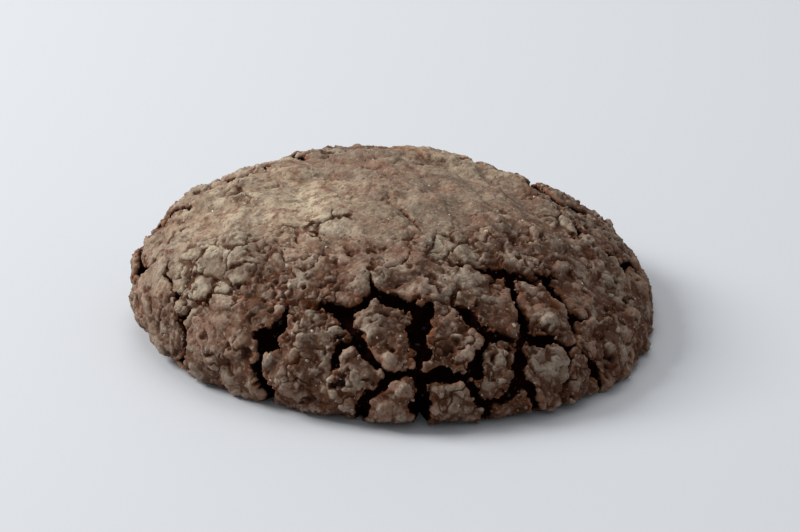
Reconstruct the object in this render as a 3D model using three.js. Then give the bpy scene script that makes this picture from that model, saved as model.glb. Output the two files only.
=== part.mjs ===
// A chocolate crinkle cookie: a low dome of cocoa dough with a flat foot, whose crust has pulled
// apart into plates as it baked. Millimetres, +Z up, the origin at the middle of the foot.
// The front, at azimuth 0, is the -Y side, and azimuths run towards +X.

import * as THREE from "three";
import { mergeVertices } from "three/addons/utils/BufferGeometryUtils.js";

// ---- The dome ----
const WIDEST_RADIUS = 30;
const WIDEST_HEIGHT = 3; // how high above the table the dough bulges furthest
const FOOT_RADIUS = 27;
const CROWN_HEIGHT = 17.5;
const DOME_POWER = 1.85; // 2 is an ellipse, less is more pointed
const FOOT_POWER = 2.2;
const LEAN = 2.5; // the left side stands this much higher than the middle, the right side lower
const PLAN_OVAL = 0.01; // share of the radius
const PLAN_THREE_LOBES = 0.025;

// ---- The crust's plates ----
// Middles of the front's plates: [azimuth in degrees, distance down the slope from the crown].
const FRONT_PLATES = {
  A: [-68, 33.5],
  B: [-44, 31],
  C: [-47, 25],
  D: [-19.5, 31],
  E: [-10, 33.5],
  F: [-20, 20.5],
  G: [-3, 28],
  H: [-2, 37.5],
  I: [12, 28.3],
  J: [10, 36.5],
  K: [26, 23.8],
  L: [21, 32],
  M: [24, 37],
  N: [39, 25.5],
  O: [32, 33],
  P: [56, 25.5],
  Q: [40, 36],
  R: [66, 33],
  S: [51, 32],
  T: [41, 16],
  U: [61, 20],
  V: [78, 25],
  W: [-77, 22.4],
  X: [-62, 27],
  Y: [3, 19],
};
// How far the front's plates have pulled apart, pair by pair. A pair that isn't named is a hairline.
const FRONT_CRACKS = {
  BD: 1.7,
  AB: 1,
  AX: 0.9,
  AW: 0.6,
  BX: 0.5,
  DG: 1.6,
  FG: 1.6,
  GY: 1.5,
  GI: 1.6,
  EG: 1.3,
  EH: 1.3,
  HI: 2,
  HJ: 2.2,
  IJ: 1.2,
  IK: 1.2,
  IL: 1.3,
  JL: 1,
  LM: 1,
  KN: 1.6,
  KT: 1.2,
  TY: 1,
  LN: 1.2,
  NO: 1.2,
  NP: 2,
  NU: 1.2,
  LO: 1.1,
  MO: 0.9,
  RS: 0.8,
  QS: 1,
  OQ: 0.6,
};
const HAIRLINE = 0.3;
const FRONT_HALF_ANGLE = 84; // the plates named above cover the front out to here
const FRONT_TOP = 12; // and up the slope to here
const PLATE_SPACING_CROWN = 8.5;
const PLATE_SPACING_FOOT = 5.6;
const PLATE_DRAWS = 4000;
const UPRIGHT = 0.75; // below 1, plates are taller than they are wide on the flank
const GAPE_LEAST = 0.35; // of a plate away from the front: two of them multiplied open a crack
const GAPE_MOST = 1.55;
const GAPE_WIDTH = 0.95;
const PLATE_STEP = 0.35; // how far a plate stands proud of the dome, or sinks in it
const STEP_BLEND = 0.5;
const SEED = 71;

// ---- The cracks between them ----
const CROWN_OPENING = 0.3; // share of a crack's width left at the crown
const OPENING_STARTS = 13; // distances down the slope
const OPENING_FULL = 23;
const WIDTH_UNEVEN = 0.22;
// Where the crust has hardly opened at all: azimuth, distance down the slope, and reach.
const CLOSED_PATCHES = [{ azimuth: -86, slope: 20, reach: 8 }];
const TAPER = 5; // over this length a crack takes on the mean width of the cracks it meets
const TYPICAL_GAP = 6; // between the middles of two plates
const NEAREST = 6; // only so many plates can reach a point
const DEPTH_PER_WIDTH = 1.5;
const DEPTH_MOST = 3.8;
const FOOT_FADE = 7.5; // a crack's notch in the foot closes over this length, inwards
const TUCK_LEAST = 0.04; // least height of the flank for each millimetre of slope above the foot's edge
const WALL_POWER = 2.4; // the higher, the steeper a crack's walls
const LIP_DROP = 0.3; // the plates round off towards a crack, for each millimetre of its width
const LIP_REACH = 1.1;
const WANDER = [
  { wave: 9, sway: 0.9 },
  { wave: 3.7, sway: 0.35 },
];

// ---- Swells and folds ----
const SWELLS = [
  { wave: 14, height: 0.5 },
  { wave: 5.5, height: 0.22 },
];
// Folds that the crust was left with on the crown: a groove with a ridge on its outer side.
const FOLDS = [
  { centre: [-12, -22], radius: 23, from: 158, to: 204, depth: 0.5, width: 1.2 },
  { centre: [-3, 2], radius: 8, from: -20, to: 95, depth: 0.35, width: 1.1 },
  { centre: [2, -9], radius: 17, from: 110, to: 200, depth: 0.7, width: 1.3 },
];
const FOLD_END = 4; // a fold fades out over this length

// ---- The mesh ----
const ICOSPHERE_DETAIL = 60; // fine enough for the cracks, and thinned out afterwards
const FOOT_SHARE = 0.3; // triangles on the foot's flat face, for each one on as much dome
const TRIANGLES = 11400;
const THIN_SHARE = 0.12; // of the edges, at most, that go in one round
const SLIVER_COST = 2e-4; // keeps facets compact where the surface is flat
const MIDDLE_HOLD = 1e-3; // how firmly a merged point keeps to the middle of its edge
const TURN_LEAST = 0.3; // cosine of the most that a facet may turn when its corner moves
const PROFILE_STEPS = 240;

const CRUST = "#5e493f";

function smoothstep(from, to, x) {
  return THREE.MathUtils.smoothstep(x, from, to);
}

// A smooth uneven field from about -1 to 1, made of crossed sine waves.
function uneven(p, wave, phase) {
  const k = (2 * Math.PI) / wave;
  const broad = Math.sin(k * (p.x + 0.6 * p.y) + phase) * Math.cos(k * (0.8 * p.y - 0.7 * p.z) + 2 * phase);
  const fine = Math.sin(k * (1.7 * p.z - 0.9 * p.x) + 3 * phase) * Math.cos(k * (1.5 * p.x + 1.1 * p.y));
  return 0.65 * broad + 0.5 * fine;
}

// A repeatable run of draws from 0 to 1.
function makeDraw(seed) {
  let state = seed;
  return () => {
    state = (state * 16807) % 2147483647;
    return state / 2147483647;
  };
}

// The half section from the crown, down the dome, round the foot's edge and in to the foot's middle.
// Each point has its radius, height, distance down the slope and share of the mesh above it.
function makeProfile() {
  const points = [];
  for (let i = 0; i <= PROFILE_STEPS; i++) {
    const a = (Math.PI / 2) * (i / PROFILE_STEPS);
    const rise = (CROWN_HEIGHT - WIDEST_HEIGHT) * Math.cos(a) ** (2 / DOME_POWER);
    points.push({ r: WIDEST_RADIUS * Math.sin(a) ** (2 / DOME_POWER), z: WIDEST_HEIGHT + rise });
  }
  const tuck = WIDEST_RADIUS - FOOT_RADIUS;
  for (let i = 1; i <= PROFILE_STEPS; i++) {
    const a = (Math.PI / 2) * (i / PROFILE_STEPS);
    const drop = WIDEST_HEIGHT * Math.sin(a) ** (2 / FOOT_POWER);
    points.push({ r: FOOT_RADIUS + tuck * Math.cos(a) ** (2 / FOOT_POWER), z: WIDEST_HEIGHT - drop });
  }
  for (let i = 1; i <= PROFILE_STEPS; i++) {
    points.push({ r: FOOT_RADIUS * (1 - i / PROFILE_STEPS), z: 0 });
  }
  let slope = 0;
  let share = 0;
  points.forEach((p, i) => {
    if (i > 0) {
      const last = points[i - 1];
      const step = Math.hypot(p.r - last.r, p.z - last.z);
      slope += step;
      share += ((step * (p.r + last.r)) / 2) * (i > 2 * PROFILE_STEPS ? FOOT_SHARE : 1);
    }
    p.slope = slope;
    p.share = share;
  });
  points.forEach((p) => (p.share /= share));
  return points;
}

// Linear lookup in the profile: the value of `wanted` where `key` equals x.
function lookUp(profile, key, x, wanted) {
  let low = 0;
  let high = profile.length - 1;
  while (high - low > 1) {
    const middle = (low + high) >> 1;
    if (profile[middle][key] <= x) low = middle;
    else high = middle;
  }
  const a = profile[low];
  const b = profile[high];
  const t = THREE.MathUtils.clamp((x - a[key]) / (b[key] - a[key] || 1), 0, 1);
  return a[wanted] + t * (b[wanted] - a[wanted]);
}

const profile = makeProfile();
const FOOT_EDGE = profile[2 * PROFILE_STEPS].slope;

// A point of the smooth dome, before its crust cracks.
function domePoint(azimuth, slope) {
  const r = lookUp(profile, "slope", slope, "r");
  const z = lookUp(profile, "slope", slope, "z");
  const plan = 1 + PLAN_OVAL * Math.sin(2 * azimuth + 1.2) + PLAN_THREE_LOBES * Math.sin(3 * azimuth);
  const x = r * plan * Math.sin(azimuth);
  const lean = ((LEAN * x) / WIDEST_RADIUS) * Math.min(1, z / WIDEST_HEIGHT);
  return new THREE.Vector3(x, -r * plan * Math.cos(azimuth), z - lean);
}

// The way the crust moves out from the dome: square to it, but never downwards.
function outwards(azimuth, slope) {
  const d = 0.05;
  const s = Math.max(slope, 2 * d);
  const along = domePoint(azimuth, s + d).sub(domePoint(azimuth, s - d));
  const around = domePoint(azimuth + d, s).sub(domePoint(azimuth - d, s));
  const up = Math.max(0, along.cross(around).normalize().z);
  const level = Math.sqrt(1 - up * up);
  return new THREE.Vector3(level * Math.sin(azimuth), -level * Math.cos(azimuth), up);
}

// The space in which the nearest plate owns a point: squat, so that plates come out upright.
function plateSpace(p) {
  return new THREE.Vector3(p.x, p.y, p.z * UPRIGHT);
}

// The front's named plates, then more of them thrown at random over the rest of the dome, each kept
// only where it has room.
function makePlates() {
  const draw = makeDraw(SEED);
  const plates = [];
  const add = (azimuth, slope, name) => {
    plates.push({
      name,
      at: plateSpace(domePoint(azimuth, slope)),
      gape: THREE.MathUtils.lerp(GAPE_LEAST, GAPE_MOST, draw()),
      step: PLATE_STEP * (2 * draw() - 1),
    });
  };
  for (const [name, [degrees, slope]] of Object.entries(FRONT_PLATES)) {
    add(THREE.MathUtils.degToRad(degrees), slope, name);
  }
  for (let i = 0; i < PLATE_DRAWS; i++) {
    const azimuth = Math.PI * (2 * draw() - 1);
    const slope = FOOT_EDGE * Math.sqrt(draw());
    const front = Math.abs(azimuth) < THREE.MathUtils.degToRad(FRONT_HALF_ANGLE) && slope > FRONT_TOP;
    const room = THREE.MathUtils.lerp(PLATE_SPACING_CROWN, PLATE_SPACING_FOOT, slope / FOOT_EDGE);
    const at = plateSpace(domePoint(azimuth, slope));
    if (!front && plates.every((plate) => plate.at.distanceTo(at) > room)) add(azimuth, slope, "");
  }
  return plates;
}

const plates = makePlates();

// The crack's full width between two plates, before it narrows towards the crown.
function widthBetween(a, b) {
  if (a.name && b.name) {
    return FRONT_CRACKS[a.name + b.name] ?? FRONT_CRACKS[b.name + a.name] ?? HAIRLINE;
  }
  return GAPE_WIDTH * a.gape * b.gape;
}

// The share of their width to which cracks have opened at a point.
function openingAt(p, slope) {
  const downSlope = THREE.MathUtils.lerp(CROWN_OPENING, 1, smoothstep(OPENING_STARTS, OPENING_FULL, slope));
  let opening = downSlope * (1 + WIDTH_UNEVEN * uneven(p, 6, 2));
  for (const patch of CLOSED_PATCHES) {
    const middle = domePoint(THREE.MathUtils.degToRad(patch.azimuth), patch.slope);
    opening *= 1 - Math.exp(-p.distanceToSquared(middle) / patch.reach ** 2);
  }
  return opening;
}

// The crack's width between two plates where a third is near: it tapers to what the three cracks
// that meet there have on average.
function widthNear(own, other, third, toThird) {
  const width = widthBetween(own, other);
  const meeting = (width + widthBetween(own, third) + widthBetween(other, third)) / 3;
  return THREE.MathUtils.lerp(meeting, width, smoothstep(0, TAPER, toThird));
}

// Where a point lies in the crust: how deep the crack is there, and the step of its own plate.
function crustAt(p, slope) {
  const q = p.clone();
  WANDER.forEach(({ wave, sway }, i) => {
    q.x += sway * uneven(p, wave, 1 + i);
    q.y += sway * uneven(p, wave, 4 + i);
    q.z += sway * uneven(p, wave, 7 + i);
  });
  const at = plateSpace(q);
  const near = plates.map((plate) => ({ plate, square: plate.at.distanceToSquared(at) }));
  near.sort((one, other) => one.square - other.square);
  const [own, second, third] = near;
  const opening = openingAt(p, slope);
  let depth = 0;
  let edge = Infinity;
  let step = own.plate.step;
  for (const other of near.slice(1, NEAREST)) {
    const toEdge = (other.square - own.square) / (2 * other.plate.at.distanceTo(own.plate.at));
    const met = other === second ? third : second;
    const toMet = (met.square - own.square) / (2 * TYPICAL_GAP);
    const width = widthNear(own.plate, other.plate, met.plate, toMet) * opening;
    const inside = Math.min(1, toEdge / Math.max(width / 2, 1e-6));
    const floor = Math.min(DEPTH_MOST, DEPTH_PER_WIDTH * width);
    const lip = LIP_DROP * width * Math.exp(-Math.max(0, toEdge - width / 2) / LIP_REACH);
    depth = Math.max(depth, (floor - LIP_DROP * width) * (1 - inside ** WALL_POWER) + lip);
    if (toEdge < edge) {
      edge = toEdge;
      const mix = THREE.MathUtils.clamp(0.5 + toEdge / (2 * STEP_BLEND), 0, 1);
      step = THREE.MathUtils.lerp(other.plate.step, own.plate.step, mix);
    }
  }
  return { depth, step };
}

// Height of the crown's folds at a point, grooves negative.
function foldHeight(p) {
  let height = 0;
  for (const { centre, radius, from, to, depth, width } of FOLDS) {
    const x = p.x - centre[0];
    const y = p.y - centre[1];
    const middle = THREE.MathUtils.degToRad((from + to) / 2);
    const halfSpan = THREE.MathUtils.degToRad((to - from) / 2);
    const turn = Math.atan2(x, -y) - middle;
    const past = (Math.abs(Math.atan2(Math.sin(turn), Math.cos(turn))) - halfSpan) * radius;
    const fade = 1 - smoothstep(-FOLD_END, FOLD_END, past);
    const across = (Math.hypot(x, y) - radius + 0.6 * uneven(p, 8, 5)) / width;
    height += depth * fade * (0.6 * Math.exp(-((across - 1.7) ** 2)) - Math.exp(-(across ** 2)));
  }
  return height;
}

// The baked surface: the smooth dome moved in and out. Past the foot's edge it moves as the edge does,
// less and less, and stays in the foot's plane.
function cookiePoint(azimuth, slope) {
  const p = domePoint(azimuth, slope);
  const flank = Math.min(slope, FOOT_EDGE);
  const on = domePoint(azimuth, flank);
  const crust = crustAt(on, flank);
  let height = crust.step - crust.depth + foldHeight(on);
  SWELLS.forEach((swell, i) => (height += swell.height * uneven(on, swell.wave, 3 + i)));
  height *= 1 - smoothstep(FOOT_EDGE, FOOT_EDGE + FOOT_FADE, slope);
  p.addScaledVector(outwards(azimuth, flank), height);
  p.z = slope >= FOOT_EDGE ? 0 : Math.max(TUCK_LEAST * (FOOT_EDGE - slope), p.z);
  return p;
}

// A direction of the unit sphere as an azimuth and a distance down the slope.
function slopeOf(direction) {
  return {
    azimuth: Math.atan2(direction.x, -direction.y),
    slope: lookUp(profile, "share", (1 - direction.z) / 2, "slope"),
  };
}

// The fine surface: the points, and the faces as triples of point numbers.
function makeSurface() {
  const sphere = new THREE.IcosahedronGeometry(1, ICOSPHERE_DETAIL);
  sphere.deleteAttribute("normal");
  sphere.deleteAttribute("uv");
  const merged = mergeVertices(sphere, 1e-5);
  const directions = merged.getAttribute("position");
  const points = Array.from({ length: directions.count }, (_, i) => {
    const { azimuth, slope } = slopeOf(new THREE.Vector3().fromBufferAttribute(directions, i));
    return cookiePoint(azimuth, slope);
  });
  const corners = Array.from(merged.index.array);
  const faces = Array.from({ length: corners.length / 3 }, (_, i) => corners.slice(3 * i, 3 * i + 3));
  return { points, faces };
}

function faceCross([a, b, c]) {
  return b.clone().sub(a).cross(c.clone().sub(a));
}

// The sum of squared distances to planes, as a symmetric 4 x 4 matrix, for the faces round each point.
function makeQuadrics(points, faces) {
  const quadrics = points.map(() => new Float64Array(16));
  for (const face of faces) {
    const cross = faceCross(face.map((corner) => points[corner]));
    const area = cross.length() / 2;
    const n = cross.normalize();
    const plane = [n.x, n.y, n.z, -n.dot(points[face[0]])];
    for (const corner of face) {
      for (let i = 0; i < 16; i++) quadrics[corner][i] += area * plane[i >> 2] * plane[i & 3];
    }
  }
  return quadrics;
}

// Where the two ends of an edge best meet, and what that costs. Ends on the foot's plane stay on it.
function meetingPoint(a, b, quadricA, quadricB) {
  const middle = a.clone().lerp(b, 0.5);
  const quadric = quadricA.map((value, i) => value + quadricB[i]);
  const hold = MIDDLE_HOLD * (quadric[0] + quadric[5] + quadric[10]);
  const system = new THREE.Matrix3().set(
    ...[quadric[0] + hold, quadric[1], quadric[2]],
    ...[quadric[4], quadric[5] + hold, quadric[6]],
    ...[quadric[8], quadric[9], quadric[10] + hold],
  );
  const at = new THREE.Vector3(-quadric[3], -quadric[7], -quadric[11]).addScaledVector(middle, hold);
  at.applyMatrix3(system.invert());
  if (a.z === 0 || b.z === 0) at.z = 0;
  const place = [at.x, at.y, at.z, 1];
  let cost = SLIVER_COST * a.distanceToSquared(b);
  for (let i = 0; i < 16; i++) cost += quadric[i] * place[i >> 2] * place[i & 3];
  return { at, cost };
}

// Thins the facets out where the crust is nearly flat. In each round the edges go whose loss moves the
// surface least, none of them next to another, as long as no facet turns over.
function thinOut(points, faces) {
  while (faces.length > TRIANGLES) {
    const quadrics = makeQuadrics(points, faces);
    const around = points.map(() => []);
    faces.forEach((face) => face.forEach((corner) => around[corner].push(face)));
    const edges = [];
    for (const face of faces) {
      face.forEach((a, i) => {
        const b = face[(i + 1) % 3];
        if (a < b) edges.push({ a, b, ...meetingPoint(points[a], points[b], quadrics[a], quadrics[b]) });
      });
    }
    edges.sort((one, other) => one.cost - other.cost);
    const busy = new Set();
    const most = Math.min(THIN_SHARE * edges.length, (faces.length - TRIANGLES) / 2);
    let gone = 0;
    for (const { a, b, at } of edges) {
      if (gone >= most) break;
      const ringA = new Set(around[a].flat());
      const ringB = new Set(around[b].flat());
      // Closed and simple: the two rings share the edge's own ends and the corners facing it.
      const simple = [...ringA].filter((corner) => ringB.has(corner)).length === 4;
      const free = [...ringA, ...ringB].every((corner) => !busy.has(corner));
      const turns = [...around[a], ...around[b]].some((face) => {
        if (face.includes(a) && face.includes(b)) return false;
        const before = faceCross(face.map((corner) => points[corner]));
        const after = faceCross(face.map((corner) => (corner === a || corner === b ? at : points[corner])));
        return before.dot(after) < TURN_LEAST * before.length() * after.length();
      });
      if (!free || turns || !simple) continue;
      points[a] = at;
      for (const face of around[b]) face[face.indexOf(b)] = a;
      [...ringA, ...ringB].forEach((corner) => busy.add(corner));
      gone++;
    }
    faces = faces.filter(([a, b, c]) => a !== b && b !== c && c !== a);
    if (gone === 0) break;
  }
  return faces;
}

function makeCookie() {
  const { points, faces } = makeSurface();
  const kept = thinOut(points, faces);
  const geometry = new THREE.BufferGeometry();
  geometry.setFromPoints(kept.flat().map((corner) => points[corner]));
  geometry.computeBoundingBox();
  const middle = geometry.boundingBox.getCenter(new THREE.Vector3());
  geometry.translate(-middle.x, -middle.y, 0);
  const merged = mergeVertices(geometry, 1e-6);
  merged.computeVertexNormals();
  return merged;
}

const crust = new THREE.MeshStandardMaterial({ color: CRUST, roughness: 0.9, metalness: 0 });
const cookie = new THREE.Mesh(makeCookie(), crust);
cookie.name = "cookie";

const part = new THREE.Group();
part.add(cookie);

export default part;
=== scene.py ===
"""A chocolate crinkle cookie: a low dome of cocoa dough whose crust split into plates as it baked.

The sizes are the real ones, in millimetres, and each mesh is turned to metres as it is built.
The front, at azimuth 0, is the -Y side, and azimuths run towards +X.
"""
import math

import bpy
import numpy as np
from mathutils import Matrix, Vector


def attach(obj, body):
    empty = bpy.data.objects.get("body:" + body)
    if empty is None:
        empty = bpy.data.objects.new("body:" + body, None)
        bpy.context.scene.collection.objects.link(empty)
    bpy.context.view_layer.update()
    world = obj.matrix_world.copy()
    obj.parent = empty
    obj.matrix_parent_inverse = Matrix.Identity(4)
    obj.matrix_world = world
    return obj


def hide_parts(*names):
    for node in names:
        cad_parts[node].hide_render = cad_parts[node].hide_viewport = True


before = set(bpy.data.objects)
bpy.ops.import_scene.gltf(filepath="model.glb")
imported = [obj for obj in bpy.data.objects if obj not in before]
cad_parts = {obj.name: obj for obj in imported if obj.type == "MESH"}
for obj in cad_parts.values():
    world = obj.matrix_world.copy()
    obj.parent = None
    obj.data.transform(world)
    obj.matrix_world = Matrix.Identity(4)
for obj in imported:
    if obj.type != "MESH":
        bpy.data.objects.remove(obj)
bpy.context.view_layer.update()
MM = 0.001


# ---- The cookie ----
# One piece of cocoa dough. It was rolled to a ball, and spread in the oven to a dome on a flat foot.
# The crust set first, and pulled apart into plates as the dough under it went on rising.

# The dome and its foot, and how the plan and the top stray from round.
WIDEST_RADIUS = 30.0
WIDEST_HEIGHT = 3.0
FOOT_RADIUS = 27.0
CROWN_HEIGHT = 17.5
DOME_POWER = 1.85  # of the superellipse: 2 is an ellipse
FOOT_POWER = 2.2
LEAN = 2.5  # how far the widest edge drops on the +X side, and rises on the other
PLAN_OVAL = 0.01
PLAN_THREE_LOBES = 0.025

# Middles of the front's plates: azimuth in degrees, distance down the slope from the crown.
FRONT_PLATES = {
    "A": (-68, 33.5), "B": (-44, 31), "C": (-47, 25), "D": (-19.5, 31), "E": (-10, 33.5),
    "F": (-20, 20.5), "G": (-3, 28), "H": (-2, 37.5), "I": (12, 28.3), "J": (10, 36.5),
    "K": (26, 23.8), "L": (21, 32), "M": (24, 37), "N": (39, 25.5), "O": (32, 33),
    "P": (56, 25.5), "Q": (40, 36), "R": (66, 33), "S": (51, 32), "T": (41, 16),
    "U": (61, 20), "V": (78, 25), "W": (-77, 22.4), "X": (-62, 27), "Y": (3, 19),
}
# How far the front's plates have pulled apart, pair by pair. A pair that isn't named is a hairline.
FRONT_CRACKS = {
    "BD": 1.7, "AB": 1.0, "AX": 0.9, "AW": 0.6, "BX": 0.5, "DG": 1.6, "FG": 1.6, "GY": 1.5,
    "GI": 1.6, "EG": 1.3, "EH": 1.3, "HI": 2.0, "HJ": 2.2, "IJ": 1.2, "IK": 1.2, "IL": 1.3,
    "JL": 1.0, "LM": 1.0, "KN": 1.6, "KT": 1.2, "TY": 1.0, "LN": 1.2, "NO": 1.2, "NP": 2.0,
    "NU": 1.2, "LO": 1.1, "MO": 0.9, "RS": 0.8, "QS": 1.0, "OQ": 0.6,
}
HAIRLINE = 0.3

# The other plates: where they are left out, their spacing, and how far each one may gape and step.
FRONT_HALF_ANGLE = 84
FRONT_TOP = 12
PLATE_SPACING_CROWN = 8.5
PLATE_SPACING_FOOT = 5.6
PLATE_DRAWS = 4000
SEED = 71
GAPE_LEAST = 0.35
GAPE_MOST = 1.55
GAPE_WIDTH = 0.95  # of a crack between two plates that gape by 1
PLATE_STEP = 0.35
STEP_BLEND = 0.35
UPRIGHT = 0.75  # heights count for less than widths, so plates on the flank are taller than wide

# The cracks: narrow on the crown, wide on the flank, uneven, and deeper where they are wider.
CROWN_OPENING = 0.3
OPENING_STARTS = 13
OPENING_FULL = 23
WIDTH_UNEVEN = 0.22
UNEVEN_WAVE = 6
CLOSED_PATCHES = [(-86, 20, 8)]  # where the crust has hardly opened: azimuth, slope and reach
DEPTH_PER_WIDTH = 1.5
DEPTH_MOST = 3.8
TAPER = 5.0  # over this length a crack takes on the mean width of the cracks it meets
TYPICAL_GAP = 6.0  # between the middles of two plates
WALL_POWER = 5.0  # how square the crack's section is
LIP_DROP = 0.22  # how far a crack's lips sink, for each mm of its width
LIP_REACH = 0.8
FOOT_FADE = 7.5  # over which the relief fades out inwards, under the foot
TUCK_LEAST = 0.04  # the least height of the tucked edge, for each mm up the slope from the foot
NEAREST = 6  # only so many plates can reach a point
WANDER = [(9, 0.9), (3.7, 0.35)]  # wave and sway
FRAY = [(1.9, 0.2), (1.05, 0.1)]  # finer, so that a crack's lips are ragged

# The crust between the cracks: broad swells, and folds on the crown.
SWELLS = [(14, 0.5), (5.5, 0.22)]  # wave and height
FOLDS = [  # centre, radius, from and to in degrees, depth, width
    ((-12, -22), 23, 158, 204, 0.5, 1.2),
    ((-3, 2), 8, -20, 95, 0.35, 1.1),
    ((2, -9), 17, 110, 200, 0.7, 1.3),
]
FOLD_END = 4
FOLD_SWAY = 0.6
FOLD_WAVE = 8
BANK_HEIGHT = 0.6  # of the fold's outer bank, for each mm of its depth
BANK_AWAY = 1.7  # in widths of the fold

# The meshes.
SPHERE_SUBDIVISIONS = 9
FOOT_SHARE = 0.06  # the foot gets this share of the vertices that its area would
PROFILE_STEPS = 240
BATCHES = 16  # the crust is worked out in parts, to save memory
CRUST_TRIANGLES = 196000


def smoothstep(start, end, x):
    """0 before the start, 1 past the end, and an S-curve between."""
    t = np.clip((x - start) / (end - start), 0, 1)
    return t * t * (3 - 2 * t)


def uneven(p, wave, phase):
    """A smooth unevenness of the given wave, about -1 to 1, made of crossing waves."""
    k = 2 * math.pi / wave
    x, y, z = p[..., 0], p[..., 1], p[..., 2]
    broad = np.sin(k * (x + 0.6 * y) + phase) * np.cos(k * (0.8 * y - 0.7 * z) + 2 * phase)
    fine = np.sin(k * (1.7 * z - 0.9 * x) + 3 * phase) * np.cos(k * (1.5 * x + 1.1 * y))
    return 0.65 * broad + 0.5 * fine


def draws(seed):
    """Random numbers from 0 to 1, the same on every machine."""
    multiplier = 16807
    modulus = 2147483647
    state = seed
    while True:
        state = state * multiplier % modulus
        yield state / modulus


# The half section: down the dome, round the foot's edge and in to the foot's middle.
turn = np.linspace(0, math.pi / 2, PROFILE_STEPS + 1)
dome_r = WIDEST_RADIUS * np.sin(turn) ** (2 / DOME_POWER)
dome_z = WIDEST_HEIGHT + (CROWN_HEIGHT - WIDEST_HEIGHT) * np.abs(np.cos(turn)) ** (2 / DOME_POWER)
tuck_r = FOOT_RADIUS + (WIDEST_RADIUS - FOOT_RADIUS) * np.abs(np.cos(turn[1:])) ** (2 / FOOT_POWER)
tuck_z = WIDEST_HEIGHT - WIDEST_HEIGHT * np.sin(turn[1:]) ** (2 / FOOT_POWER)
foot_r = FOOT_RADIUS * (1 - np.arange(1, PROFILE_STEPS + 1) / PROFILE_STEPS)
section_r = np.concatenate([dome_r, tuck_r, foot_r])
section_z = np.concatenate([dome_z, tuck_z, np.zeros(PROFILE_STEPS)])
steps = np.hypot(np.diff(section_r), np.diff(section_z))
section_slope = np.concatenate([[0], np.cumsum(steps)])
FOOT_EDGE = section_slope[2 * PROFILE_STEPS]
ring_areas = steps * (section_r[1:] + section_r[:-1]) / 2
ring_areas[2 * PROFILE_STEPS:] *= FOOT_SHARE
section_share = np.concatenate([[0], np.cumsum(ring_areas)]) / ring_areas.sum()


def dome_point(azimuth, slope):
    """The plain dome's point at an azimuth and a distance down the slope from the crown."""
    r = np.interp(slope, section_slope, section_r)
    z = np.interp(slope, section_slope, section_z)
    plan = 1 + PLAN_OVAL * np.sin(2 * azimuth + 1.2) + PLAN_THREE_LOBES * np.sin(3 * azimuth)
    x = r * plan * np.sin(azimuth)
    lean = LEAN * x / WIDEST_RADIUS * np.minimum(1, z / WIDEST_HEIGHT)
    return np.stack([x, -r * plan * np.cos(azimuth), z - lean], axis=-1)


def outwards(azimuth, slope):
    """The direction out of the dome, level where it would point down."""
    d = 0.05
    s = np.maximum(slope, 2 * d)
    along = dome_point(azimuth, s + d) - dome_point(azimuth, s - d)
    around = dome_point(azimuth + d, s) - dome_point(azimuth - d, s)
    normal = np.cross(along, around)
    up = np.maximum(0, normal[..., 2] / np.linalg.norm(normal, axis=-1))
    level = np.sqrt(1 - up * up)
    return np.stack([level * np.sin(azimuth), -level * np.cos(azimuth), up], axis=-1)


def plate_space(p):
    """The squat space in which a point belongs to the nearest plate."""
    return p * (1, 1, UPRIGHT)


# The front's named plates, then more thrown at random over the rest of the dome, each kept only
# where it has room. Each plate draws how far it gapes and how far it stands up.
draw = draws(SEED)
plate_names, plate_at, plate_gape, plate_step = [], [], [], []


def add_plate(name, at):
    plate_names.append(name)
    plate_at.append(at)
    plate_gape.append(GAPE_LEAST + (GAPE_MOST - GAPE_LEAST) * next(draw))
    plate_step.append(PLATE_STEP * (2 * next(draw) - 1))


for name, (degrees, slope) in FRONT_PLATES.items():
    add_plate(name, plate_space(dome_point(math.radians(degrees), slope)))
for _ in range(PLATE_DRAWS):
    azimuth = math.pi * (2 * next(draw) - 1)
    slope = FOOT_EDGE * math.sqrt(next(draw))
    front = abs(azimuth) < math.radians(FRONT_HALF_ANGLE) and slope > FRONT_TOP
    room = PLATE_SPACING_CROWN + (PLATE_SPACING_FOOT - PLATE_SPACING_CROWN) * slope / FOOT_EDGE
    at = plate_space(dome_point(azimuth, slope))
    if not front and np.linalg.norm(np.array(plate_at) - at, axis=1).min() > room:
        add_plate("", at)
plate_at, plate_gape, plate_step = map(np.array, (plate_at, plate_gape, plate_step))
plate_gaps = np.linalg.norm(plate_at[:, None] - plate_at[None], axis=-1) + np.eye(len(plate_at))

crack_widths = GAPE_WIDTH * plate_gape[:, None] * plate_gape[None]
for i, one in enumerate(plate_names):
    for j, other in enumerate(plate_names):
        if one and other:
            named = FRONT_CRACKS.get(one + other) or FRONT_CRACKS.get(other + one)
            crack_widths[i, j] = named or HAIRLINE


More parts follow.
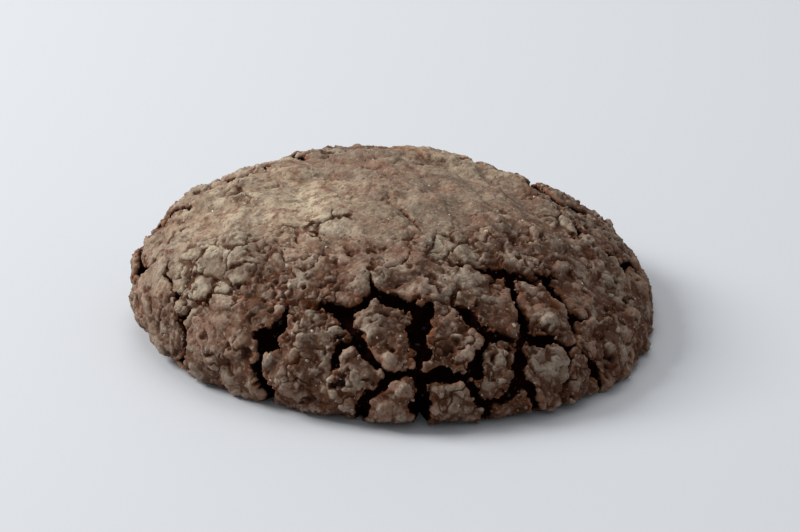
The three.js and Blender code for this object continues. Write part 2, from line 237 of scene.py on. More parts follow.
def crust_at(p, slope):
    """Depth of the crack, step of the plate, and distance to the nearest lip."""
    q = p.copy()
    for i, (wave, sway) in enumerate(WANDER + FRAY):
        shifts = [uneven(p, wave, phase + i) for phase in (1, 4, 7)]
        q += sway * np.stack(shifts, axis=-1)
    at = plate_space(q)
    squares = ((at[:, None] - plate_at[None]) ** 2).sum(axis=-1)
    near = np.argpartition(squares, NEAREST, axis=1)[:, :NEAREST]
    near_squares = np.take_along_axis(squares, near, axis=1)
    order = np.argsort(near_squares, axis=1)
    near = np.take_along_axis(near, order, axis=1)
    near_squares = np.take_along_axis(near_squares, order, axis=1)
    own, others = near[:, :1], near[:, 1:]
    to_edge = (near_squares[:, 1:] - near_squares[:, :1]) / (2 * plate_gaps[own, others])
    # For each edge, the next plate that it runs to: there three cracks meet, and share their width.
    which = [2] + [1] * (NEAREST - 2)
    met = near[:, which]
    to_met = (near_squares[:, which] - near_squares[:, :1]) / (2 * TYPICAL_GAP)
    width = crack_widths[own, others]
    meeting = (width + crack_widths[own, met] + crack_widths[others, met]) / 3
    width = meeting + (width - meeting) * smoothstep(0, TAPER, to_met)
    opening = CROWN_OPENING + (1 - CROWN_OPENING) * smoothstep(OPENING_STARTS, OPENING_FULL, slope)
    opening = opening * (1 + WIDTH_UNEVEN * uneven(p, UNEVEN_WAVE, 2))
    for degrees, patch_slope, reach in CLOSED_PATCHES:
        square_away = ((p - dome_point(math.radians(degrees), patch_slope)) ** 2).sum(axis=1)
        opening *= 1 - np.exp(-square_away / reach ** 2)
    width = width * opening[:, None]
    inside = np.minimum(1, to_edge / np.maximum(width / 2, 1e-6))
    floor = np.minimum(DEPTH_MOST, DEPTH_PER_WIDTH * width)
    lip = LIP_DROP * width * np.exp(-np.maximum(0, to_edge - width / 2) / LIP_REACH)
    depth = ((floor - LIP_DROP * width) * (1 - inside ** WALL_POWER) + lip).max(axis=1)
    nearest = to_edge.argmin(axis=1)[:, None]
    edge = np.take_along_axis(to_edge, nearest, axis=1)[:, 0]
    mix = np.clip(0.5 + edge / (2 * STEP_BLEND), 0, 1)
    neighbour_step = plate_step[np.take_along_axis(others, nearest, axis=1)[:, 0]]
    step = neighbour_step + (plate_step[own[:, 0]] - neighbour_step) * mix
    return depth, step, (to_edge - width / 2).min(axis=1)


def fold_height(p):
    """How far the crown's folds raise or sink a point: each is a groove with a bank outside it."""
    height = np.zeros(len(p))
    for centre, radius, start, end, depth, width in FOLDS:
        x, y = p[:, 0] - centre[0], p[:, 1] - centre[1]
        around = np.arctan2(x, -y) - math.radians((start + end) / 2)
        around = np.abs(np.arctan2(np.sin(around), np.cos(around)))
        past = (around - math.radians((end - start) / 2)) * radius
        fade = 1 - smoothstep(-FOLD_END, FOLD_END, past)
        across = (np.hypot(x, y) - radius + FOLD_SWAY * uneven(p, FOLD_WAVE, 5)) / width
        bank = BANK_HEIGHT * np.exp(-((across - BANK_AWAY) ** 2))
        height += depth * fade * (bank - np.exp(-(across ** 2)))
    return height


# A ball of even vertices. Its heights are turned to distances down the slope, by area, so that the
# vertices stay even on the dome, and each is then raised or sunk with the crust.
bpy.ops.mesh.primitive_ico_sphere_add(subdivisions=SPHERE_SUBDIVISIONS, radius=1)
dough = bpy.context.object
directions = np.empty(len(dough.data.vertices) * 3)
dough.data.vertices.foreach_get("co", directions)
directions = directions.reshape(-1, 3)
directions /= np.linalg.norm(directions, axis=1)[:, None]
azimuths = np.arctan2(directions[:, 0], -directions[:, 1])
slopes = np.interp((1 - directions[:, 2]) / 2, section_share, section_slope)

crust, crack, to_lip = [], [], []
for azimuth, slope in zip(np.array_split(azimuths, BATCHES), np.array_split(slopes, BATCHES)):
    p = dome_point(azimuth, slope)
    flank = np.minimum(slope, FOOT_EDGE)
    on = dome_point(azimuth, flank)
    depth, step, away = crust_at(on, flank)
    height = step - depth + fold_height(on)
    for i, (wave, swell) in enumerate(SWELLS):
        height += swell * uneven(on, wave, 3 + i)
    fade = 1 - smoothstep(FOOT_EDGE, FOOT_EDGE + FOOT_FADE, slope)
    p += outwards(azimuth, flank) * (height * fade)[:, None]
    p[:, 2] = np.where(slope >= FOOT_EDGE, 0, np.maximum(TUCK_LEAST * (FOOT_EDGE - slope), p[:, 2]))
    crust.append(p)
    crack.append(depth * fade)
    to_lip.append(away)
crust = np.concatenate(crust)
middle = (crust.min(axis=0) + crust.max(axis=0)) / 2
crust -= (middle[0], middle[1], 0)
dough.data.vertices.foreach_set("co", (crust * MM).ravel())
dough.data.update()

# What the crumb and the colours follow: the crack's depth and the distance to its lip in mm, how
# crumbly the crust is (0 where it stayed smooth), and where sugar dusts it and its skin has crazed.
on_dome = dome_point(azimuths, np.minimum(slopes, FOOT_EDGE))


def patches(spots):
    """How far each point lies in one of the spots: azimuth, slope, reach and strength."""
    share = np.zeros(len(slopes))
    for degrees, slope, reach, strength in spots:
        away = np.linalg.norm(on_dome - dome_point(math.radians(degrees), slope), axis=1)
        share = np.maximum(share, strength * np.exp(-((away / reach) ** 2)))
    return share


# Azimuth, slope, reach and strength of each smooth patch, dusting and patch of crazed skin.
CALM = [
    (-80, 24, 13, 0.85), (-45, 33, 6, 0.5), (-60, 13, 10, 1.0), (-10, 10, 9, 0.8),
    (165, 20, 11, 0.6), (100, 16, 9, 0.7), (-140, 12, 9, 0.8),
]
DUSTINGS = [
    (-62, 13, 8, 0.9), (-62, 27, 5, 0.7), (-85, 18, 12, 0.7), (-20, 9, 8, 0.45), (150, 14, 9, 0.7),
    (-130, 24, 7, 0.6), (75, 12, 6, 0.35),
]
CRAZINGS = [
    (-56, 26, 6.5, 1.0), (20, 15, 4, 1.0), (-35, 14, 3.5, 1.0), (140, 26, 6, 1.0), (-150, 18, 5, 1.0),
    (95, 20, 4, 1.0),
]
CRUMBLY_FROM = 6  # down the slope, where the crust begins to be crumbly
CRUMBLY_TO = 22
CRUMBLY_SWAY = 4
CRUMBLY_WAVE = 11
swayed = slopes + CRUMBLY_SWAY * uneven(on_dome, CRUMBLY_WAVE, 6)
crumbly = smoothstep(CRUMBLY_FROM, CRUMBLY_TO, swayed)
CRUST_FACTS = {
    "crack": np.concatenate(crack),
    "to_lip": np.concatenate(to_lip),
    "crumbly": crumbly * (1 - patches(CALM)),
    "dusting": patches(DUSTINGS),
    "crazing": patches(CRAZINGS),
    "dome_slope": slopes,
}
for name, values in CRUST_FACTS.items():
    fact = dough.data.attributes.new(name, "FLOAT", "POINT")
    fact.data.foreach_set("value", values.astype(np.float32))


def node(tree, kind, settings, inputs):
    """Adds a node, sets it and feeds its inputs with values or sockets. Returns its first output."""
    made = tree.nodes.new(kind)
    for name, value in settings.items():
        setattr(made, name, value)
    for name, value in inputs.items():
        if isinstance(value, bpy.types.NodeSocket):
            tree.links.new(value, made.inputs[name])
        else:
            made.inputs[name].default_value = value
    return made.outputs[0]


def new_tree(name, sizes, others):
    """A Geometry Nodes tree with a named input for each size, and others by their socket type."""
    tree = bpy.data.node_groups.new(name, "GeometryNodeTree")
    tree.is_modifier = True
    kinds = {"Geometry": "NodeSocketGeometry"} | dict.fromkeys(sizes, "NodeSocketFloat") | others
    for label, kind in kinds.items():
        tree.interface.new_socket(label, in_out="INPUT", socket_type=kind)
    tree.interface.new_socket("Geometry", in_out="OUTPUT", socket_type="NodeSocketGeometry")
    return tree


def grown(piece, tree, values):
    """The piece's mesh as the tree makes it, with the tree's inputs filled by their identifiers."""
    growth = piece.modifiers.new(tree.name, "NODES")
    growth.node_group = tree
    for socket in tree.interface.items_tree:
        if socket.in_out == "INPUT" and socket.name in values:
            growth[socket.identifier] = values[socket.name]
    seen = piece.evaluated_get(bpy.context.evaluated_depsgraph_get())
    mesh = bpy.data.meshes.new_from_object(seen)
    piece.modifiers.clear()
    return mesh


def linear(colour):
    """An sRGB hex colour as the linear red, green, blue and alpha that Blender's sockets take."""
    channels = [int(colour[i:i + 2], 16) / 255 for i in (1, 3, 5)]
    return [c / 12.92 if c <= 0.04045 else ((c + 0.055) / 1.055) ** 2.4 for c in channels] + [1.0]


# Baked cocoa crumb: matt and grainy. Dried sugar greys the crust and the lips of the cracks stay
# rust-brown. The tops of its lumps are painted paler as painted highlight, its creases and hollows are
# painted rust-brown to near-black, partly the crumb's colour and partly painted shade, and the moist
# dough down the cracks is painted almost black, partly its own dark colour and partly painted shade.
CRUST_DULL = "#6f5d4e"
CRUST_WARM = "#765746"
CRUST_PALE = "#9b8f7f"
SUGAR_BLOOM = "#bfb094"
# Rust-brown for dark specks, and painted shade in the crust's creases and hollows.
RUST_AND_CREASE_SHADE = "#482611"
LIP_RUST = "#7a431f"
# Near-black: the moist dough down the cracks, deepened with painted shade there and in the deep creases.
DARK_DOUGH_AND_SHADE = "#120301"
SKIN_GREY = "#877f6e"

baked = bpy.data.materials.new("baked cocoa crumb")
baked.use_nodes = True
crumb = baked.node_tree
crust_finish = crumb.nodes["Principled BSDF"]
crust_finish.inputs["Roughness"].default_value = 0.85
at = node(crumb, "ShaderNodeTexCoord", {}, {}).node.outputs["Object"]
told = {}
for name in [*CRUST_FACTS, "crease", "nub_tone", "rise"]:
    told[name] = node(crumb, "ShaderNodeAttribute", {"attribute_name": name}, {}).node.outputs["Fac"]

# Patterns over the whole crust: name, size in mm and detail.
CLOUDS = [("mottle", 4.5, 2.0), ("bloom", 1.1, 4.0), ("rust", 1.7, 1.0), ("grit", 0.35, 3.0)]
GRIT_SIZE = 0.36
cloud = {}
for name, size, detail in CLOUDS:
    pattern = {"Vector": at, "Scale": 1 / (size * MM), "Detail": detail}
    cloud[name] = node(crumb, "ShaderNodeTexNoise", {}, pattern)
speck = node(crumb, "ShaderNodeTexVoronoi", {}, {"Vector": at, "Scale": 1 / (GRIT_SIZE * MM)})
speck_tone = node(crumb, "ShaderNodeSeparateColor", {}, {"Color": speck.node.outputs["Color"]})

# The rough crust's colours show in full where it is torn, and this much where it is smooth.
SMOOTH_SHARE = 0.25
reach = {"Value": told["crumbly"], "To Min": SMOOTH_SHARE, "To Max": 1.0}
torn = node(crumb, "ShaderNodeMapRange", {}, reach)

SMOOTH = {"interpolation_type": "SMOOTHSTEP"}
MULTIPLY = {"operation": "MULTIPLY"}
MULTIPLY_ADD = {"operation": "MULTIPLY_ADD"}
# Layers of colour from the plain crust up: the share that is covered, from which value to which, how
# strongly, and with which colour. A second share narrows some of them.
colour = linear(CRUST_DULL)
LAYERS = [
    (cloud["mottle"], 0.4, 0.6, 1.0, CRUST_WARM, None),
    (told["nub_tone"], 0.3, 0.9, 0.4, CRUST_PALE, torn),
    # Painted highlight: the crust is painted paler where its lumps and nubs stand highest.
    (told["rise"], 0.08, 0.32, 0.35, CRUST_PALE, torn),
    (told["crazing"], 0.3, 0.8, 0.6, SKIN_GREY, None),
    (cloud["bloom"], 0.3, 0.6, 0.8, SUGAR_BLOOM, told["dusting"]),
    # Painted shade: the hollows between the lumps are painted rust-brown, partly the crumb's colour and
    # partly painted shade.
    (told["rise"], 0.06, -0.1, 0.85, RUST_AND_CREASE_SHADE, torn),
    (speck_tone, 0.7, 0.95, 0.3, CRUST_PALE, None),
    (speck_tone, 0.3, 0.05, 0.3, RUST_AND_CREASE_SHADE, None),
    (cloud["grit"], 0.54, 0.68, 0.4, RUST_AND_CREASE_SHADE, None),
    # Painted shade in the creases, crazing gaps and pits: rust-brown where shallow and near-black where
    # deep.
    (told["crease"], 0.04, 0.25, 0.9, RUST_AND_CREASE_SHADE, None),
    (told["crease"], 0.32, 0.65, 0.85, DARK_DOUGH_AND_SHADE, None),
    (told["crack"], 0.1, 0.35, 0.9, LIP_RUST, cloud["rust"]),
    # Down a crack: near-black moist dough, darkened further as painted shade.
    (told["crack"], 0.4, 0.85, 1.0, DARK_DOUGH_AND_SHADE, None),
]
for value, low, high, most, paint, within in LAYERS:
    reach = {"Value": value, "From Min": low, "From Max": high, "To Max": most}
    share = node(crumb, "ShaderNodeMapRange", SMOOTH, reach)
    if within:
        share = node(crumb, "ShaderNodeMath", MULTIPLY, {0: share, 1: within})
    over = {0: share, 6: colour, 7: linear(paint)}
    colour = node(crumb, "ShaderNodeMix", {"data_type": "RGBA"}, over).node.outputs[2]
crumb.links.new(colour, crust_finish.inputs["Base Color"])

# The crust shines a little, and the dark down the cracks hardly at all.
SHEEN = 0.2
CRACK_SHEEN = 0.02
reach = {"Value": told["crack"], "From Min": 0.3, "From Max": 0.9, "To Min": SHEEN, "To Max": CRACK_SHEEN}
sheen = node(crumb, "ShaderNodeMapRange", {}, reach)
crumb.links.new(sheen, crust_finish.inputs["Specular IOR Level"])

# Grit under half a millimetre, too fine for the mesh: rounded grains and the gaps between them.
GRIT_HEIGHT = 0.07
GRAIN_FALL = 0.7  # how far a grain falls from its middle, against the noise under it
BUMP_STRENGTH = 0.9
grit_height = {0: speck, 1: -GRAIN_FALL, 2: cloud["grit"]}
grit_height = node(crumb, "ShaderNodeMath", MULTIPLY_ADD, grit_height)
bump = {"Strength": BUMP_STRENGTH, "Distance": GRIT_HEIGHT * MM, "Height": grit_height}
crumb.links.new(node(crumb, "ShaderNodeBump", {}, bump), crust_finish.inputs["Normal"])

# The crumb's relief in mm. It grows on an evenly meshed copy of the dough, which takes the facts
# above from it: lumps, nubs and grains, each with a height of its own, creases between them, pits
# where steam came out, and crazed patches of skin.
RELIEF = {
    "Warp size": 1.8, "Warp": 0.8,
    "Lump size": 2.8, "Lump height": 0.32,
    "Nub size": 1.2, "Nub height": 0.16,
    "Grain size": 0.55, "Grain height": 0.11,
    "Crease size": 2.6, "Crease depth": 0.4,
    "Pit size": 1.7, "Pit depth": 0.65,
    "Craze size": 3.8, "Craze gap": 0.22, "Craze depth": 0.45, "Craze lift": 0.35,
}
VOXEL = 0.12  # mm
ADD = {"operation": "ADD"}
SUBTRACT = {"operation": "SUBTRACT"}
SCALE = {"operation": "SCALE"}
relief = new_tree("crumb relief", RELIEF, {"Dough": "NodeSocketObject", "Crumb": "NodeSocketMaterial"})
given = relief.nodes.new("NodeGroupInput").outputs
shape = given["Geometry"]
source = node(relief, "GeometryNodeObjectInfo", {}, {"Object": given["Dough"]})
source = source.node.outputs["Geometry"]
fact = {}
for name in CRUST_FACTS:
    fact[name] = node(relief, "GeometryNodeInputNamedAttribute", {"data_type": "FLOAT"}, {"Name": name})
    nearest = node(relief, "GeometryNodeSampleNearestSurface", {}, {"Mesh": source, "Value": fact[name]})
    stored = {"Geometry": shape, "Name": name, "Value": nearest}
    shape = node(relief, "GeometryNodeStoreNamedAttribute", {}, stored)

position = node(relief, "GeometryNodeInputPosition", {}, {})
in_mm = node(relief, "ShaderNodeVectorMath", SCALE, {0: position, "Scale": 1 / MM})
per = {}
for name in RELIEF:
    if name.endswith(" size"):
        kind = name.removesuffix(" size")
        per[kind] = node(relief, "ShaderNodeMath", {"operation": "DIVIDE"}, {0: 1.0, 1: given[name]})
sway = node(relief, "ShaderNodeTexNoise", {}, {"Vector": in_mm, "Scale": per["Warp"]})
sway = sway.node.outputs["Color"]
sway = node(relief, "ShaderNodeVectorMath", SUBTRACT, {0: sway, 1: (0.5, 0.5, 0.5)})
twice = node(relief, "ShaderNodeMath", MULTIPLY, {0: given["Warp"], 1: 2.0})
warped = node(relief, "ShaderNodeVectorMath", MULTIPLY_ADD, {0: sway, 1: twice, 2: in_mm})

# Rounded bumps: each Voronoi cell is a dome with a height of its own.
DOME_FALL = 2.4  # how far a dome falls, in its own heights, one cell from its middle
LOWEST_DOME = 0.25
heights = []
for kind in ("Lump", "Nub", "Grain"):
    cell = node(relief, "ShaderNodeTexVoronoi", {}, {"Vector": warped, "Scale": per[kind]})
    drawn = node(relief, "FunctionNodeSeparateColor", {}, {"Color": cell.node.outputs["Color"]})
    square = node(relief, "ShaderNodeMath", MULTIPLY, {0: cell, 1: cell})
    tall = {"Value": drawn, "To Min": LOWEST_DOME, "To Max": 1.0}
    tall = node(relief, "ShaderNodeMapRange", {}, tall)
    dome = node(relief, "ShaderNodeMath", MULTIPLY_ADD, {0: square, 1: -DOME_FALL, 2: tall})
    dome = node(relief, "ShaderNodeMath", MULTIPLY, {0: dome, 1: given[kind + " height"]})
    heights.append(dome)
    if kind == "Nub":
        nub_tone = drawn
coarse = node(relief, "ShaderNodeMath", ADD, {0: heights[0], 1: heights[1]})

# Where each kind of relief lies: a fact or a pattern, from which value to which it counts, and the
# share of the relief at either end. "bare" is how much of the roughness is left under crazed skin.
PATCH_SIZE = 5.0
broad = {"Vector": in_mm, "Scale": 1 / PATCH_SIZE, "Detail": 1.0}
patchy = node(relief, "ShaderNodeTexNoise", {}, broad)
WHERE = {
    "skin": (fact["crazing"], 0.3, 0.7, 0.0, 1.0),
    "bare": (fact["crazing"], 0.3, 0.7, 1.0, 0.35),
    "rough": (fact["crumbly"], 0.0, 1.0, 0.18, 1.0),
    "grainy": (fact["crumbly"], 0.0, 0.7, 0.35, 1.0),
    "pitted": (fact["crumbly"], 0.0, 1.0, 0.1, 1.0),
    "creased": (patchy, 0.36, 0.6, 0.0, 1.0),
    "on plate": (fact["crack"], 1.6, 0.5, 0.0, 1.0),
}
where = {}
for name, (value, low, high, least, most) in WHERE.items():
    reach = {"Value": value, "From Min": low, "From Max": high, "To Min": least, "To Max": most}
    where[name] = node(relief, "ShaderNodeMapRange", SMOOTH, reach)
rough = node(relief, "ShaderNodeMath", MULTIPLY, {0: where["rough"], 1: where["bare"]})
grains = node(relief, "ShaderNodeMath", MULTIPLY, {0: heights[2], 1: where["grainy"]})
rise = node(relief, "ShaderNodeMath", MULTIPLY_ADD, {0: coarse, 1: rough, 2: grains})

# Creases run where a noise crosses its middle value, and pits open where another is highest.
CREASE_HALF_WIDTH = 0.042  # as a share of the noise, like the two below
PIT_STARTS = 0.62
PIT_FULL = 0.72
noise = node(relief, "ShaderNodeTexNoise", {}, {"Vector": warped, "Scale": per["Crease"], "Detail": 2.0})
off = node(relief, "ShaderNodeMath", SUBTRACT, {0: noise, 1: 0.5})
off = node(relief, "ShaderNodeMath", {"operation": "ABSOLUTE"}, {0: off})
reach = {"Value": off, "From Min": CREASE_HALF_WIDTH, "From Max": 0.0, "To Max": given["Crease depth"]}
crease = node(relief, "ShaderNodeMapRange", SMOOTH, reach)
crease = node(relief, "ShaderNodeMath", MULTIPLY, {0: crease, 1: where["creased"]})
crease = node(relief, "ShaderNodeMath", MULTIPLY, {0: crease, 1: where["grainy"]})

noise = node(relief, "ShaderNodeTexNoise", {}, {"Vector": warped, "Scale": per["Pit"], "Detail": 1.0})
reach = {"Value": noise, "From Min": PIT_STARTS, "From Max": PIT_FULL, "To Max": given["Pit depth"]}
pit = node(relief, "ShaderNodeMapRange", SMOOTH, reach)
pit = node(relief, "ShaderNodeMath", MULTIPLY, {0: pit, 1: where["pitted"]})

# The crazed skin: flakes that stand a little higher or lower, with gaps along their edges.
cells = {"Vector": warped, "Scale": per["Craze"]}
flake = node(relief, "ShaderNodeTexVoronoi", {}, cells).node.outputs["Color"]
flake = node(relief, "FunctionNodeSeparateColor", {}, {"Color": flake})
flake = node(relief, "ShaderNodeMath", SUBTRACT, {0: flake, 1: 0.5})
flake = node(relief, "ShaderNodeMath", MULTIPLY, {0: flake, 1: given["Craze lift"]})
rise = node(relief, "ShaderNodeMath", MULTIPLY_ADD, {0: flake, 1: where["skin"], 2: rise})
rim = node(relief, "ShaderNodeTexVoronoi", {"feature": "DISTANCE_TO_EDGE"}, cells)
rim = node(relief, "ShaderNodeMath", MULTIPLY, {0: rim, 1: given["Craze size"]})
reach = {"Value": rim, "From Min": given["Craze gap"], "From Max": 0.0, "To Max": given["Craze depth"]}
craze = node(relief, "ShaderNodeMapRange", SMOOTH, reach)
craze = node(relief, "ShaderNodeMath", MULTIPLY, {0: craze, 1: where["skin"]})

drop = node(relief, "ShaderNodeMath", {"operation": "MAXIMUM"}, {0: crease, 1: craze})
drop = node(relief, "ShaderNodeMath", ADD, {0: drop, 1: pit})
drop = node(relief, "ShaderNodeMath", MULTIPLY, {0: drop, 1: where["on plate"]})
height = node(relief, "ShaderNodeMath", SUBTRACT, {0: rise, 1: drop})
FOOT_BARE = 1.0  # mm above the foot's edge, over which the relief fades out, as it turns to metres
bare_edge = FOOT_EDGE - FOOT_BARE
reach = {"Value": fact["dome_slope"], "From Min": FOOT_EDGE, "From Max": bare_edge, "To Max": MM}
on_flank = node(relief, "ShaderNodeMapRange", {}, reach)
height = node(relief, "ShaderNodeMath", MULTIPLY, {0: height, 1: on_flank})
normal = node(relief, "GeometryNodeInputNormal", {}, {})
offset = node(relief, "ShaderNodeVectorMath", SCALE, {0: normal, "Scale": height})
for name, value in {"crease": drop, "nub_tone": nub_tone, "rise": coarse}.items():
    stored = {"Geometry": shape, "Name": name, "Value": value}
    shape = node(relief, "GeometryNodeStoreNamedAttribute", {}, stored)
shape = node(relief, "GeometryNodeSetPosition", {}, {"Geometry": shape, "Offset": offset})
lowest = {0: position, 1: (-1.0, -1.0, 0.0)}  # no point sinks below the foot, and x and y are free
above = node(relief, "ShaderNodeVectorMath", {"operation": "MAXIMUM"}, lowest)
shape = node(relief, "GeometryNodeSetPosition", {}, {"Geometry": shape, "Position": above})
shape = node(relief, "GeometryNodeSetMaterial", {}, {"Geometry": shape, "Material": given["Crumb"]})
relief.links.new(shape, relief.nodes.new("NodeGroupOutput").inputs[0])

cookie = bpy.data.objects.new("baked_crust", dough.data.copy())
bpy.context.scene.collection.objects.link(cookie)
even = cookie.modifiers.new("even", "REMESH")
even.mode = "VOXEL"
even.voxel_size = VOXEL * MM
cookie.data = grown(cookie, relief, RELIEF | {"Dough": dough, "Crumb": baked})
fine_faces = len(cookie.data.polygons)
thin = cookie.modifiers.new("thin", "DECIMATE")
thin.ratio = CRUST_TRIANGLES / (2 * fine_faces)  # the even mesh is of squares, two triangles each
seen = cookie.evaluated_get(bpy.context.evaluated_depsgraph_get())
cookie.data = bpy.data.meshes.new_from_object(seen)
cookie.modifiers.clear()
bpy.data.objects.remove(dough)
cookie.data.name = cookie.name
cookie.data.shade_smooth()
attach(cookie, "root")
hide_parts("cookie")


# ---- Crumbs and sugar on the crust ----
# Toasted crumbs that came loose as the crust tore lie half sunk in it, thickest along the lips of
# the cracks. A few grains of the sugar that the ball was rolled in have stayed whole.
GRAIN_BROWN = "#705545"
GRAIN_PALE = "#a09484"
GRAIN_DARK = "#3f2415"

# Toasted crumb: brown, with darker and paler grains, and rust at a crack's lip. Down a crack it is
# painted near-black: the dark dough's colour with painted shade.
toasted = bpy.data.materials.new("toasted crumbs")
toasted.use_nodes = True
loose = toasted.node_tree
loose_finish = loose.nodes["Principled BSDF"]
loose_finish.inputs["Roughness"].default_value = 0.7
loose_finish.inputs["Specular IOR Level"].default_value = 0.4
colour = linear(GRAIN_BROWN)
LOOSE_LAYERS = [
    ("grain_tone", 0.3, 0.0, 0.8, GRAIN_DARK),
    ("grain_tone", 0.45, 1.0, 0.8, GRAIN_PALE),
    ("dusting", 0.1, 0.9, 0.5, SUGAR_BLOOM),
    ("crack", 0.25, 0.6, 0.7, LIP_RUST),
    # Painted shade down a crack, over the crumb's own dark colour.
    ("crack", 0.6, 1.3, 1.0, DARK_DOUGH_AND_SHADE),
]
for name, low, high, most, paint in LOOSE_LAYERS:
    value = node(loose, "ShaderNodeAttribute", {"attribute_name": name}, {}).node.outputs["Fac"]
    reach = {"Value": value, "From Min": low, "From Max": high, "To Max": most}
    share = node(loose, "ShaderNodeMapRange", SMOOTH, reach)
    over = {0: share, 6: colour, 7: linear(paint)}
    colour = node(loose, "ShaderNodeMix", {"data_type": "RGBA"}, over).node.outputs[2]
loose.links.new(colour, loose_finish.inputs["Base Color"])

# White sugar, browned a little by the oven: glassy grains that catch the light.
SUGAR_WHITE = "#d8cbb4"
SUGAR_TOASTED = "#a08a70"
sugar = bpy.data.materials.new("oven-dried sugar")
sugar.use_nodes = True
sweet = sugar.node_tree
sweet_finish = sweet.nodes["Principled BSDF"]
sweet_finish.inputs["Roughness"].default_value = 0.3
sweet_finish.inputs["IOR"].default_value = 1.54
value = node(sweet, "ShaderNodeAttribute", {"attribute_name": "grain_tone"}, {}).node.outputs["Fac"]
over = {0: value, 6: linear(SUGAR_TOASTED), 7: linear(SUGAR_WHITE)}
colour = node(sweet, "ShaderNodeMix", {"data_type": "RGBA"}, over).node.outputs[2]
sweet.links.new(colour, sweet_finish.inputs["Base Color"])

# Sizes in mm. Spacing is the least distance between two grains, and the shares say how much of the
# room they take on open crust, along a crack's lip, on the dusting and down a crack.
LOOSE = {
    "crumb_grains": {
        "Seed": 11, "Facets": 1, "Least": 0.2, "Most": 0.45, "Spacing": 0.45, "Sunk": 0.3,
        "Open": 0.3, "Lips": 0.3, "Dusted": 0.1, "Cracks": 0.2, "Crumb": toasted,
    },
    "crumbs": {
        "Seed": 23, "Facets": 2, "Least": 0.4, "Most": 1.0, "Spacing": 0.9, "Sunk": 0.36,
        "Open": 0.05, "Lips": 0.4, "Dusted": 0.0, "Cracks": 0.3, "Crumb": toasted,
    },
    "sugar_grains": {
        "Seed": 5, "Facets": 1, "Least": 0.2, "Most": 0.62, "Spacing": 0.9, "Sunk": 0.25,
        "Open": 0.03, "Lips": 0.01, "Dusted": 0.06, "Cracks": 0.0, "Crumb": sugar,
    },
}
FOOT_CLEAR = 0.8  # mm above the table where the lowest crumb sits
SIZES = ["Least", "Most", "Spacing", "Sunk", "Open", "Lips", "Dusted", "Cracks"]
SORTS = {"Seed": "NodeSocketInt", "Facets": "NodeSocketInt", "Crumb": "NodeSocketMaterial"}
scatter = new_tree("crumbs and sugar", SIZES, SORTS)
given = scatter.nodes.new("NodeGroupInput").outputs
fact = {}
for name in ("crack", "to_lip", "dusting"):
    fact[name] = node(scatter, "GeometryNodeInputNamedAttribute", {"data_type": "FLOAT"}, {"Name": name})
LIP_EDGE = 0.1  # mm from the crack, up to which a lip is full of crumbs
LIP_END = 0.9
CRACK_STARTS = 0.7  # mm down, from which the crack's own share holds
CRACK_FULL = 1.2
reach = {"Value": fact["to_lip"], "From Min": LIP_END, "From Max": LIP_EDGE}
lip = node(scatter, "ShaderNodeMapRange", SMOOTH, reach)
lip = node(scatter, "ShaderNodeMath", MULTIPLY_ADD, {0: lip, 1: given["Lips"], 2: given["Open"]})
plate = {0: fact["dusting"], 1: given["Dusted"], 2: lip}
plate = node(scatter, "ShaderNodeMath", MULTIPLY_ADD, plate)
reach = {"Value": fact["crack"], "From Min": CRACK_STARTS, "From Max": CRACK_FULL}
down = node(scatter, "ShaderNodeMapRange", {}, reach)
share = node(scatter, "ShaderNodeMix", {}, {0: down, 2: plate, 3: given["Cracks"]})
position = node(scatter, "GeometryNodeInputPosition", {}, {})
axes = node(scatter, "ShaderNodeSeparateXYZ", {}, {0: position})
clear = {0: axes.node.outputs["Z"], 1: FOOT_CLEAR * MM}
clear = node(scatter, "ShaderNodeMath", {"operation": "GREATER_THAN"}, clear)
share = node(scatter, "ShaderNodeMath", MULTIPLY, {0: share, 1: clear})

# As many points are thrown as the spacing leaves room for, and thinned to the share.
CROWDING = 1.6  # points thrown for each square of the spacing
SMALL_MOSTLY = 2.0  # the power that makes most of the draws small
metres = node(scatter, "ShaderNodeMath", MULTIPLY, {0: given["Spacing"], 1: MM})
square = node(scatter, "ShaderNodeMath", MULTIPLY, {0: metres, 1: metres})
crowd = node(scatter, "ShaderNodeMath", {"operation": "DIVIDE"}, {0: CROWDING, 1: square})
points = node(scatter, "GeometryNodeDistributePointsOnFaces", {"distribute_method": "POISSON"}, {
    "Mesh": given["Geometry"], "Distance Min": metres, "Density Max": crowd,
    "Density Factor": share, "Seed": given["Seed"]})
size = node(scatter, "FunctionNodeRandomValue", {"data_type": "FLOAT"}, {"Seed": given["Seed"]})
size = size.node.outputs[1]
size = node(scatter, "ShaderNodeMath", {"operation": "POWER"}, {0: size, 1: SMALL_MOSTLY})
reach = {"Value": size, "To Min": given["Least"], "To Max": given["Most"]}
size = node(scatter, "ShaderNodeMapRange", {}, reach)
size = node(scatter, "ShaderNodeMath", MULTIPLY, {0: size, 1: MM})
sink = node(scatter, "ShaderNodeMath", MULTIPLY, {0: given["Sunk"], 1: size})
sink = node(scatter, "ShaderNodeMath", MULTIPLY, {0: sink, 1: -1.0})
inwards = {0: points.node.outputs["Normal"], "Scale": sink}
inwards = node(scatter, "ShaderNodeVectorMath", SCALE, inwards)
points = node(scatter, "GeometryNodeSetPosition", {}, {"Geometry": points, "Offset": inwards})

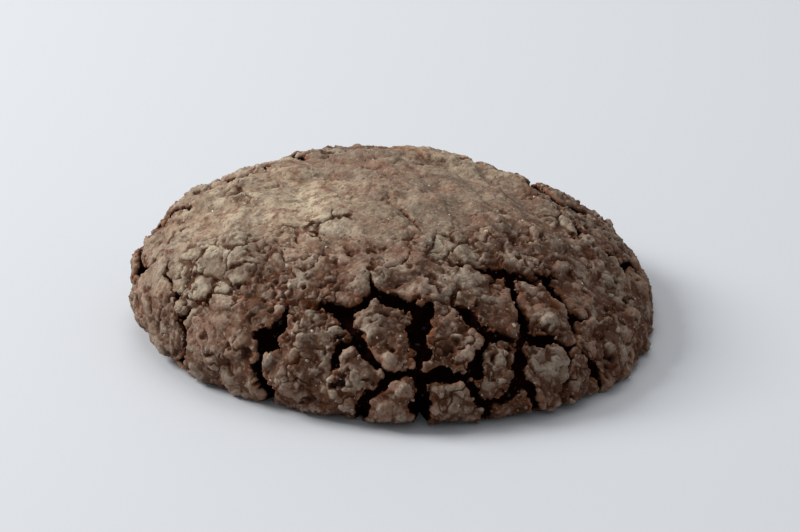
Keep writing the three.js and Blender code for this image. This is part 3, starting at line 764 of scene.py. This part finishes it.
# Each is a ball that is turned, squashed and made lumpy.
FULL_TURN = (2 * math.pi, 2 * math.pi, 2 * math.pi)
LUMPINESS = 0.35  # mm
LUMP_SIZE = 0.5
TONE_SEED = 77
ball = {"Radius": 0.5, "Subdivisions": given["Facets"]}
ball = node(scatter, "GeometryNodeMeshIcoSphere", {}, ball)
turned = {"Max": FULL_TURN, "Seed": given["Seed"]}
turned = node(scatter, "FunctionNodeRandomValue", {"data_type": "FLOAT_VECTOR"}, turned)
squashed = {"Min": (0.7, 0.7, 0.6), "Max": (1.25, 1.25, 1.0), "Seed": given["Seed"]}
squashed = node(scatter, "FunctionNodeRandomValue", {"data_type": "FLOAT_VECTOR"}, squashed)
scale = node(scatter, "ShaderNodeVectorMath", SCALE, {0: squashed, "Scale": size})
crumbs = node(scatter, "GeometryNodeInstanceOnPoints", {}, {
    "Points": points, "Instance": ball, "Rotation": turned, "Scale": scale})
tone = node(scatter, "FunctionNodeRandomValue", {"data_type": "FLOAT"}, {"Seed": TONE_SEED})
stored = {"Geometry": crumbs, "Name": "grain_tone", "Value": tone.node.outputs[1]}
crumbs = node(scatter, "GeometryNodeStoreNamedAttribute", {"domain": "INSTANCE"}, stored)
crumbs = node(scatter, "GeometryNodeRealizeInstances", {}, {"Geometry": crumbs})
lumpy = {"Vector": position, "Scale": 1 / (LUMP_SIZE * MM)}
lumpy = node(scatter, "ShaderNodeTexNoise", {}, lumpy).node.outputs["Color"]
lumpy = node(scatter, "ShaderNodeVectorMath", SUBTRACT, {0: lumpy, 1: (0.5, 0.5, 0.5)})
lumpy = node(scatter, "ShaderNodeVectorMath", SCALE, {0: lumpy, "Scale": LUMPINESS * MM})
crumbs = node(scatter, "GeometryNodeSetPosition", {}, {"Geometry": crumbs, "Offset": lumpy})
crumbs = node(scatter, "GeometryNodeSetMaterial", {}, {"Geometry": crumbs, "Material": given["Crumb"]})
scatter.links.new(crumbs, scatter.nodes.new("NodeGroupOutput").inputs[0])

for name, values in LOOSE.items():
    piece = bpy.data.objects.new(name, cookie.data.copy())
    bpy.context.scene.collection.objects.link(piece)
    piece.data = grown(piece, scatter, values)
    piece.data.name = name
    if name != "sugar_grains":
        piece.data.shade_smooth()
    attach(piece, "root")


# ---- The table and the light ----
# A plain white table in a bright tent: the main light is broad and soft, above and behind on the left,
# and a weaker one hangs overhead.
TABLE_SIZE = 4  # m
TABLE_WHITE = "#bcbec1"
TENT_WHITE = "#f2f5fa"
TENT_STRENGTH = 0.52
bpy.ops.mesh.primitive_plane_add(size=TABLE_SIZE)
table = bpy.context.object
table.name = table.data.name = "white_table"
white = bpy.data.materials.new("white table")
white.use_nodes = True
table_finish = white.node_tree.nodes["Principled BSDF"]
table_finish.inputs["Base Color"].default_value = linear(TABLE_WHITE)
table_finish.inputs["Roughness"].default_value = 0.55
table.data.materials.append(white)

tent = bpy.data.worlds.new("tent")
bpy.context.scene.world = tent
tent.use_nodes = True
sky = tent.node_tree.nodes["Background"]
sky.inputs["Color"].default_value = linear(TENT_WHITE)
sky.inputs["Strength"].default_value = TENT_STRENGTH


def lamp(name, place, size, watts, aim=(0, 0, 0.008)):
    """A square lamp in metres that shines on the cookie's middle."""
    light = bpy.data.lights.new(name, "AREA")
    light.energy = watts
    light.size = size
    holder = bpy.data.objects.new(name, light)
    holder.location = place
    holder.rotation_euler = (Vector(aim) - holder.location).to_track_quat("-Z", "Y").to_euler()
    bpy.context.scene.collection.objects.link(holder)


lamp("key", (-0.5, 0.14, 0.39), 0.28, 5.1)
lamp("top", (-0.05, 0.3, 0.7), 0.5, 1.8)

# The camera stands where the photographer's did, 22.5 degrees above the table, with a longer lens.
ELEVATION = math.radians(22.5)
DISTANCE = 0.492
LENS = 196
AIM = Vector((0.00075, 0, 0.0066))
SENSOR = 36
NEAREST_SEEN = 0.01
eye = bpy.data.cameras.new("camera")
eye.sensor_width = SENSOR
eye.lens = LENS
eye.clip_start = NEAREST_SEEN
camera = bpy.data.objects.new("camera", eye)
camera.location = AIM + DISTANCE * Vector((0, -math.cos(ELEVATION), math.sin(ELEVATION)))
camera.rotation_euler = (AIM - camera.location).to_track_quat("-Z", "Y").to_euler()
bpy.context.scene.collection.objects.link(camera)
bpy.context.scene.camera = camera
bpy.context.scene.view_settings.view_transform = "Standard"
